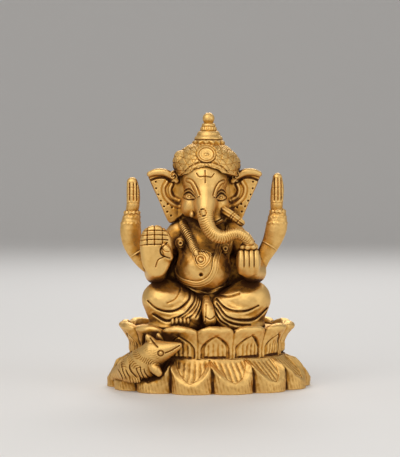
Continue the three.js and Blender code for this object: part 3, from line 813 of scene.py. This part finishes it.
def left_front_hand(p):
    x, y, z = p
    palm = egg(p, (16.4, -16.4, 53.2), (5.2, 4.5, 6.5))
    fingers = [tube(p, [(u, *row) for row in FINGER]) for u in (13.2, 15.3, 17.4, 19.4)]
    gaps = sum(mark(x - u, 0.2, 0.45) for u in (14.3, 16.4, 18.4))
    return fuse(1.0, palm, *fingers) + gaps * step(z, 50.4, 52) * step(-16 - y, 0, 1.5)


def grains(p, count, start, centre, reach, radii):
    """Lumps evenly round an oval, the first of them at the angle start."""
    lumps = []
    for angle in start + 2 * np.pi * np.arange(count) / count:
        offset = (reach[0] * np.cos(angle), reach[1] * np.sin(angle), 0)
        lumps.append(egg(p, np.add(centre, offset), radii))
    return lumps


def sweet(p):
    ball = egg(p, (16.4, -17.4, 59.8), (3.3, 3.0, 2.2))
    lower = grains(p, 7, 0, (16.4, -17.4, 59.4), (2.7, 2.3), (1.3, 1.3, 1.3))
    upper = grains(p, 4, 0.5, (16.4, -17.6, 61.2), (1.3, 1.1), (1.2, 1.2, 1.1))
    return fuse(0.25, ball, *lower, *upper)


REAR_ARMS = {
    "right": {
        "path": [
            (-23, -1.5, 49.4, 3.2), (-27.4, -0.5, 53.4, 3.3), (-31.0, 0, 59.6, 4.0), (-32.0, 0, 66, 4.4),
            (-31.4, 0, 71.6, 3.5),
        ],
        "elbow": (-28.8, -0.3, 55.6),
        "wrist": (-31.4, 0, 73),
        "hand": [(-31.4, 0, 73.6, 2.6), (-30.9, 0, 77, 2.8), (-30.9, 0, 82, 2.8), (-31.3, 0, 85.6, 2.3)],
        "fingers": (-32.4, -30.8, -29.4),
    },
    "left": {
        "path": [
            (21.6, -1.5, 49.8, 3.2), (24, -0.5, 54.6, 3.3), (27.4, 0, 60.4, 3.9), (29.5, 0, 66.6, 4.5),
            (30, 0, 72, 3.6),
        ],
        "elbow": (26.3, -0.2, 58.4),
        "wrist": (30, 0, 73.4),
        "hand": [(29.5, 0, 74, 2.5), (29.6, 0, 78, 2.75), (29.9, 0, 83, 2.75), (29.9, 0, 87.6, 2.0)],
        "fingers": (28.4, 29.9, 31.3),
    },
}


def rear_arm(side):
    arm = REAR_ARMS[side]

    def shape(p):
        x, y, z = p
        rows = sum(mark(z - row, 0.4, 0.1) for row in (68.6, 71.2))
        beads = rows * (1 + np.cos(np.arctan2(x - arm["wrist"][0], -y) * 12))
        return tube(p, arm["path"], flat=0.85) - beads

    return shape


def elbow_bangle(side):
    path, centre = REAR_ARMS[side]["path"], REAR_ARMS[side]["elbow"]
    axis = np.array(path[2][:3]) - np.array(path[1][:3])
    axis /= np.linalg.norm(axis)

    def shape(p):
        rings = [torus(p, np.array(centre) + k * axis, axis, 3.3, 0.45) for k in (-0.6, 0.6)]
        return fuse(0.3, *rings)

    return shape


def wrist_bangle(side):
    centre = REAR_ARMS[side]["wrist"]

    def shape(p):
        q = p - column(centre)
        angle = np.arctan2(q[0], -q[1])
        return torus(p, centre, (0, 0, 1), 2.6, 0.85) + 0.16 * np.cos(angle * 11)

    return shape


def rear_hand(side):
    arm = REAR_ARMS[side]

    def shape(p):
        x, y, z = p
        d = tube(p, arm["hand"], flat=0.85)
        top = arm["hand"][-1][2]
        relief = sum(mark(x - gap, 0.22, 0.5) for gap in arm["fingers"]) * step(z, 77.4, 78.6)
        relief = relief * (1 - step(z, top - 0.6, top + 0.6))
        for knuckle in (77.0, 80.6, 83.4):
            relief = relief + mark(z - knuckle, 0.2, 0.12)
        return d + np.where(y < 0.4, relief, relief * 0.5)

    return shape


# ---------------------------------------------------------------- meshing


def grid_cells(counts):
    """Every cell's place in a grid, as three rows of whole numbers."""
    return np.indices(counts).reshape(3, -1)


def field_array(shape, low, high, voxel):
    """The field on a dense grid, worked out only in the blocks that the surface may pass through."""
    size = BLOCK * voxel
    counts = np.ceil((high - low) / size).astype(int)
    index = grid_cells(counts)
    centres = (low[:, None] + (index + 0.5 - 0.5 / BLOCK) * size).astype(np.float32)
    rough = shape(centres)
    values = np.empty((*counts, BLOCK, BLOCK, BLOCK), np.float32)
    values[:] = (np.sign(rough) * BAND * voxel).reshape(*counts, 1, 1, 1)
    near = index[:, np.abs(rough) < 1.15 * size + 0.8]
    inner = grid_cells((BLOCK, BLOCK, BLOCK))
    for part in np.array_split(near, max(1, near.shape[1] // BLOCKS_AT_ONCE), axis=1):
        points = (part[:, :, None] * BLOCK + inner[:, None, :]) * voxel + low[:, None, None]
        found = shape(points.reshape(3, -1).astype(np.float32))
        values[tuple(part)] = found.reshape(-1, BLOCK, BLOCK, BLOCK)
    values = values.transpose(0, 3, 1, 4, 2, 5).reshape(*(counts * BLOCK))
    return np.clip(values, -BAND * voxel, BAND * voxel)


def mesh_field(shape, box, margin, voxel):
    """The field's surface in the neighbourhood of a box: points in mm and quads."""
    shift = np.array([FIGURE_X, 0, 0])
    low, high = box[0] - shift - margin, box[1] - shift + margin
    array = field_array(shape, low, high, voxel)
    for side in (0, -1):  # empty space all round closes the surface
        array[side] = array[:, side] = array[:, :, side] = BAND * voxel
    grid = openvdb.FloatGrid(background=BAND * voxel)
    grid.copyFromArray(np.ascontiguousarray(array), ijk=(0, 0, 0))
    points, _, quads = grid.convertToPolygons(isovalue=0.0, adaptivity=0.0)
    return points * voxel + low + shift, quads


def vertex_normals(points, quads):
    """Each vertex's outward direction, from the faces round it."""
    corners = points[quads]
    flat = np.cross(corners[:, 2] - corners[:, 0], corners[:, 3] - corners[:, 1])
    normals = np.zeros_like(points)
    for k in range(4):
        for axis in range(3):
            normals[:, axis] += np.bincount(quads[:, k], flat[:, axis], len(points))
    return normals / (np.linalg.norm(normals, axis=1, keepdims=True) + 1e-9)


def spread(values, quads, count):
    """Each vertex's mean over its face neighbours."""
    total, hits = np.zeros(count), np.zeros(count)
    for k in range(4):
        beside = (values[quads[:, (k + 1) % 4]] + values[quads[:, (k + 3) % 4]]) / 2
        total += np.bincount(quads[:, k], beside, count)
        hits += np.bincount(quads[:, k], minlength=count)
    return total / np.maximum(hits, 1)


def hollowness(points, quads, normals):
    """Positive in a groove and negative on a ridge, in mm over about a voxel."""
    mean = np.stack([spread(points[:, axis], quads, len(points)) for axis in range(3)], axis=1)
    bend = ((mean - points) * normals).sum(axis=1)
    for _ in range(2):
        bend = spread(bend, quads, len(points))
    return bend


def keep_largest(points, quads):
    """Drops the crumbs that a cut may leave beside a piece. Joined points come to share the lowest
    of their numbers, and the part with the most faces stays.
    """
    label = np.arange(len(points))
    while True:
        lowest = label[quads].min(axis=1)
        new = label.copy()
        for k in range(4):
            np.minimum.at(new, quads[:, k], lowest)
        new = new[new]
        if (new == label).all():
            break
        label = new
    main = np.bincount(label[quads[:, 0]]).argmax()
    kept = label == main
    number = np.cumsum(kept) - 1
    return points[kept], number[quads[kept[quads[:, 0]]]]


# ---------------------------------------------------------------- materials


# The darkest colour: tarnish in the deepest hollows and painted shade in the recesses.
TARNISH_AND_SHADE = (0.1, 0.032, 0.004)


def brass(name, bright, mid, wear):
    """Cast brass: dark with patina in the recesses, where painted shade is laid too, and rubbed bright on
    the ridges, with a painted highlight on faces that look up.
    """
    material = bpy.data.materials.new(name)
    material.use_nodes = True
    nodes, links = material.node_tree.nodes, material.node_tree.links
    shader = nodes["Principled BSDF"]
    place = nodes.new("ShaderNodeTexCoord").outputs["Object"]

    def noise(scale, detail, rough=0.6):
        node = nodes.new("ShaderNodeTexNoise")
        node.inputs["Scale"].default_value = scale
        node.inputs["Detail"].default_value = detail
        node.inputs["Roughness"].default_value = rough
        links.new(place, node.inputs["Vector"])
        return node.outputs["Fac"]

    def attribute(label):
        node = nodes.new("ShaderNodeAttribute")
        node.attribute_name = label
        return node.outputs["Fac"]

    def maths(operation, a, b, clamp=False):
        node = nodes.new("ShaderNodeMath")
        node.operation = operation
        node.use_clamp = clamp
        for socket, value in zip(node.inputs, (a, b)):
            if isinstance(value, (int, float)):
                socket.default_value = value
            else:
                links.new(value, socket)
        return node.outputs[0]

    def stirred(value, pattern, amount, clamp=False):
        """A value with a pattern added to it, as much below as above."""
        return maths("ADD", value, maths("MULTIPLY", maths("SUBTRACT", pattern, 0.5), amount), clamp)

    def ramp(value, *stops):
        """A blend between two colours, from the first stop's value to the second's."""
        node = nodes.new("ShaderNodeValToRGB")
        node.color_ramp.interpolation = "EASE"
        for point, (at, colour) in zip(node.color_ramp.elements, stops):
            point.position = at
            point.color = (*colour, 1)
        links.new(value, node.inputs["Fac"])
        return node.outputs["Color"]

    def span(value, low, high):
        node = nodes.new("ShaderNodeMapRange")
        node.inputs["To Min"].default_value = low
        node.inputs["To Max"].default_value = high
        links.new(value, node.inputs["Value"])
        return node.outputs["Result"]

    mottle = noise(scale=420, detail=6)
    grime_and_shade = stirred(attribute("grime_and_shade"), mottle, 0.9)
    grime_and_shade = stirred(grime_and_shade, noise(scale=2600, detail=3), 0.25, clamp=True)
    wear_and_highlight = stirred(attribute("wear_and_highlight"), mottle, wear, clamp=True)

    # From mid to bright brass: rubbed wear on the ridges and a painted highlight on open, upward faces.
    metal = ramp(wear_and_highlight, (0.1, mid), (0.75, bright))
    # Where the dark coat goes: patina in the hollows and painted shade in the recesses.
    coat_and_shade = ramp(grime_and_shade, (0.28, (0, 0, 0)), (0.78, (1, 1, 1)))
    tarnish_and_shade_colour = ramp(grime_and_shade, (0.3, tuple(0.55 * v for v in mid)), (0.8, TARNISH_AND_SHADE))
    mix = nodes.new("ShaderNodeMix")
    mix.data_type = "RGBA"  # which uses inputs 0, 6 and 7 and output 2
    links.new(coat_and_shade, mix.inputs[0])
    links.new(metal, mix.inputs[6])
    links.new(tarnish_and_shade_colour, mix.inputs[7])
    links.new(mix.outputs[2], shader.inputs["Base Color"])

    links.new(span(coat_and_shade, 1.0, 0.55), shader.inputs["Metallic"])
    links.new(stirred(span(coat_and_shade, 0.46, 0.7), mottle, 0.16), shader.inputs["Roughness"])

    pits = maths("MULTIPLY", noise(scale=800, detail=6, rough=0.7), 0.7)
    scratches = maths("MULTIPLY", noise(scale=5200, detail=2), 0.3)
    bump = nodes.new("ShaderNodeBump")
    bump.inputs["Strength"].default_value = 0.6
    bump.inputs["Distance"].default_value = 0.0003
    links.new(maths("ADD", pits, scratches), bump.inputs["Height"])
    links.new(bump.outputs["Normal"], shader.inputs["Normal"])
    return material


MATERIALS = {
    "brass": brass("burnished_brass", bright=(0.93, 0.6, 0.21), mid=(0.64, 0.3, 0.045), wear=0.8),
    "dark_brass": brass("darker_brass", bright=(0.84, 0.53, 0.18), mid=(0.5, 0.23, 0.035), wear=0.9),
}


# ---------------------------------------------------------------- pieces

PIECES = {  # each casting's field
    "lower_lotus": lower_lotus,
    "upper_lotus": upper_lotus,
    "mouse": mouse,
    "mouse_tail": mouse_tail,
    "crown_knob": crown_knob,
    "crown_spire": crown_spire,
    "crown_dome": crown_dome,
    "crown_medallion": crown_medallion,
    "right_crown_rosette": crown_rosette(-1),
    "left_crown_rosette": crown_rosette(1),
    "head": head,
    "right_ear": ear(-1),
    "left_ear": ear(1),
    "trunk": trunk,
    "right_tusk": tusk(RIGHT_TUSK, ()),
    "left_tusk": tusk(LEFT_TUSK, (6.0, 7.0, 9.6)),
    "torso": torso,
    "sacred_thread": sacred_thread,
    "shoulder_garland": shoulder_garland,
    "garland_pendant": garland_pendant,
    "right_chest_boss": chest_boss((-11.4, -8.8, 60.6)),
    "left_chest_boss": chest_boss((7.2, -10.8, 58.4)),
    "waist_belt": waist_belt,
    "dhoti_tail": dhoti_tail,
    "right_leg": leg(-1),
    "left_leg": leg(1),
    "right_foot": right_foot,
    "right_front_arm": front_arm(RIGHT_FRONT_ARM),
    "left_front_arm": front_arm(LEFT_FRONT_ARM),
    "right_front_hand": right_front_hand,
    "left_front_hand": left_front_hand,
    "sweet": sweet,
    **{f"{side}_rear_arm": rear_arm(side) for side in REAR_ARMS},
    **{f"{side}_elbow_bangle": elbow_bangle(side) for side in REAR_ARMS},
    **{f"{side}_wrist_bangle": wrist_bangle(side) for side in REAR_ARMS},
    **{f"{side}_rear_hand": rear_hand(side) for side in REAR_ARMS},
}
# These castings take the darker copy of the brass.
DARK = {"lower_lotus", "mouse", "mouse_tail", "waist_belt", "right_foot"}
BROAD = {  # castings without fine detail
    "lower_lotus", "upper_lotus", "torso", "right_leg", "left_leg", "right_front_arm", "left_front_arm",
}
MARGIN = {"head": 3.0, "torso": 4.0, "right_leg": 4.0, "left_leg": 4.0}  # searched round a node's box
NODE_BOXES = {node: np.array([list(corner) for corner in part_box(node)]) / MM for node in PIECES}


def voxel_of(node):
    return VOXEL if node in BROAD else FINE_VOXEL


def sculpt(node):
    mesh = mesh_field(PIECES[node], NODE_BOXES[node], MARGIN.get(node, 2.0), voxel_of(node))
    return keep_largest(*mesh)


with ThreadPoolExecutor(4) as pool:
    meshes = dict(zip(PIECES, pool.map(sculpt, PIECES)))


# ---------------------------------------------------------------- patina and painted light

AIR_VOXEL = 0.7
AIR_REACH = 16  # voxels either side of the surface
# How far out the recesses are sought for the patina and the painted shade laid in them.
SHELTER = ((0.8, 0.4), (1.8, 0.5), (4.0, 0.9), (9.0, 1.4))  # how far out to look, and how much it counts


def distance_map():
    """How far any place near the statue is from its metal, on one grid."""
    points, quads = [], []
    first = 0
    for some_points, some_quads in meshes.values():
        points.append(some_points)
        quads.append(some_quads + first)
        first += len(some_points)
    grid = openvdb.FloatGrid.createLevelSetFromPolygons(
        np.concatenate(points).astype(np.float32),
        quads=np.concatenate(quads).astype(np.uint32),
        transform=openvdb.createLinearTransform(voxelSize=AIR_VOXEL),
        halfWidth=AIR_REACH,
    )
    low, high = (np.array(corner) for corner in grid.evalActiveVoxelBoundingBox())
    array = np.empty(high - low + 1, np.float32)
    grid.copyToArray(array, ijk=tuple(int(v) for v in low))
    return array, low * AIR_VOXEL


def sample(array, low, points):
    """Reads the distance map between its voxels."""
    at = np.clip((points - low) / AIR_VOXEL, 0, np.array(array.shape) - 1.001)
    cell = at.astype(int)
    part = at - cell
    total = np.zeros(len(points))
    for corner in np.ndindex(2, 2, 2):
        weight = np.prod(np.where(corner, part, 1 - part), axis=1)
        total += weight * array[tuple((cell + corner).T)]
    return total


air, air_low = distance_map()


def patina_and_painted_light(points, quads, voxel):
    """Two values from 0 to 1 that set the colour. The first darkens the metal: patina in the grooves and
    recesses, with painted shade in the recesses and on faces that look down. The second brightens it: wear
    on the ridges that are rubbed most, with a painted highlight on faces that look up and painted shade that
    lowers it in the recesses. The metal is darker and duller towards the back.
    """
    normals = vertex_normals(points, quads)
    shut = np.zeros(len(points))
    # How closed in each point is; it darkens the recesses with patina and painted shade.
    for reach, weight in SHELTER:
        open_air = sample(air, air_low, points + normals * reach) / reach
        shut += weight * np.clip(1 - open_air, 0, 1)
    bend = hollowness(points, quads, normals) / voxel
    # Darker and duller towards the back of the statue.
    towards_back = np.clip((points[:, 1] + 16) / 24, 0, 1)
    # Darker in grooves and recesses, which is patina and painted shade, and on faces that look down, which
    # is painted shade.
    grime_and_shade = 0.34 * shut + 3.4 * np.clip(bend, 0, 0.3) + 0.1 * np.clip(-normals[:, 2], 0, 1)
    grime_and_shade += 0.1 * towards_back - 0.05
    # Brighter on the rubbed ridges, which is wear, and on faces that look up, which is a painted highlight;
    # duller in the recesses, which is painted shade.
    wear_and_highlight = 0.66 - 0.4 * shut - 5.0 * bend + 0.15 * normals[:, 2] - 0.15 * towards_back
    return np.clip(grime_and_shade, 0, 1), np.clip(wear_and_highlight, 0, 1)


def build(node):
    points, quads = meshes[node]
    slot = "dark_brass" if node in DARK else "brass"
    mesh = bpy.data.meshes.new(f"cast_{node}")
    mesh.vertices.add(len(points))
    mesh.vertices.foreach_set("co", (points * MM).astype(np.float32).ravel())
    mesh.loops.add(4 * len(quads))
    mesh.loops.foreach_set("vertex_index", quads.astype(np.int32).ravel())
    mesh.polygons.add(len(quads))
    mesh.polygons.foreach_set("loop_start", np.arange(0, 4 * len(quads), 4, dtype=np.int32))
    mesh.polygons.foreach_set("use_smooth", np.ones(len(quads), bool))
    mesh.update(calc_edges=True)
    grime_and_shade, wear_and_highlight = patina_and_painted_light(points, quads, voxel_of(node))
    for label, values in (("grime_and_shade", grime_and_shade), ("wear_and_highlight", wear_and_highlight)):
        layer = mesh.attributes.new(label, "FLOAT", "POINT")
        layer.data.foreach_set("value", values.astype(np.float32))
    mesh.materials.append(MATERIALS[slot])
    piece = bpy.data.objects.new(f"cast_{node}", mesh)
    bpy.context.scene.collection.objects.link(piece)
    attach(piece, "root")
    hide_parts(node)


for node in PIECES:
    build(node)


# ---------------------------------------------------------------- studio


FLOOR_FRONT = -4.0
FLOOR_SIDE = 5.0
BEND_START = 1.1
BEND_RADIUS = 1.0
BACKDROP_TOP = 3.0


def floor():
    """A pale floor that sweeps up into a backdrop behind the statue."""
    bend = [
        (BEND_START + BEND_RADIUS * math.sin(a), BEND_RADIUS * (1 - math.cos(a)))
        for a in np.linspace(0, math.pi / 2, 24)
    ]
    profile = [(FLOOR_FRONT, 0.0), *bend, (BEND_START + BEND_RADIUS, BACKDROP_TOP)]
    points = [(x, y, z) for y, z in profile for x in (-FLOOR_SIDE, FLOOR_SIDE)]
    faces = [(2 * i, 2 * i + 1, 2 * i + 3, 2 * i + 2) for i in range(len(profile) - 1)]
    mesh = bpy.data.meshes.new("floor")
    mesh.from_pydata(points, [], faces)
    mesh.polygons.foreach_set("use_smooth", [True] * len(faces))
    sweep = bpy.data.objects.new("floor", mesh)
    bpy.context.scene.collection.objects.link(sweep)
    material = bpy.data.materials.new("pale_floor")
    material.use_nodes = True
    shader = material.node_tree.nodes["Principled BSDF"]
    shader.inputs["Base Color"].default_value = (0.8, 0.79, 0.78, 1)
    shader.inputs["Roughness"].default_value = 0.6
    mesh.materials.append(material)


STATUE_MIDDLE = Vector((0, 0, 0.06))


def softbox(name, place, size, power, colour=(1, 1, 1)):
    """A rectangular light that faces the statue's middle."""
    light = bpy.data.lights.new(name, "AREA")
    light.shape = "RECTANGLE"
    light.size, light.size_y = size
    light.energy = power
    light.color = colour
    lamp = bpy.data.objects.new(name, light)
    lamp.location = place
    lamp.rotation_euler = (STATUE_MIDDLE - lamp.location).to_track_quat("-Z", "Y").to_euler()
    bpy.context.scene.collection.objects.link(lamp)


floor()
softbox("key", (-0.35, -0.6, 0.75), (1.0, 1.0), 5.6, (1, 0.97, 0.92))
softbox("fill", (0.7, -0.5, 0.35), (0.5, 0.6), 1.3)
softbox("back", (0.1, 0.7, 0.6), (0.6, 0.3), 2.4)

world = bpy.data.worlds.new("studio")
world.use_nodes = True
background = world.node_tree.nodes["Background"]
background.inputs["Color"].default_value = (0.86, 0.84, 0.82, 1)
background.inputs["Strength"].default_value = 0.43
bpy.context.scene.world = world
bpy.context.scene.view_settings.view_transform = "Standard"

CAMERA_DISTANCE = 0.7
CAMERA_HEIGHT = 0.097
CAMERA_YAW = math.radians(3)
AIM_DOWN = math.radians(2.515)
AIM_LEFT = math.radians(0.31)
FOCAL_LENGTH = 131.0
lens = bpy.data.cameras.new("camera")
lens.sensor_width = 36
lens.lens = FOCAL_LENGTH
lens.clip_start = 0.01
camera = bpy.data.objects.new("camera", lens)
camera.location = (
    -CAMERA_DISTANCE * math.sin(CAMERA_YAW),
    -CAMERA_DISTANCE * math.cos(CAMERA_YAW),
    CAMERA_HEIGHT,
)
camera.rotation_euler = (math.pi / 2 - AIM_DOWN, 0, AIM_LEFT - CAMERA_YAW)
bpy.context.scene.collection.objects.link(camera)
bpy.context.scene.camera = camera
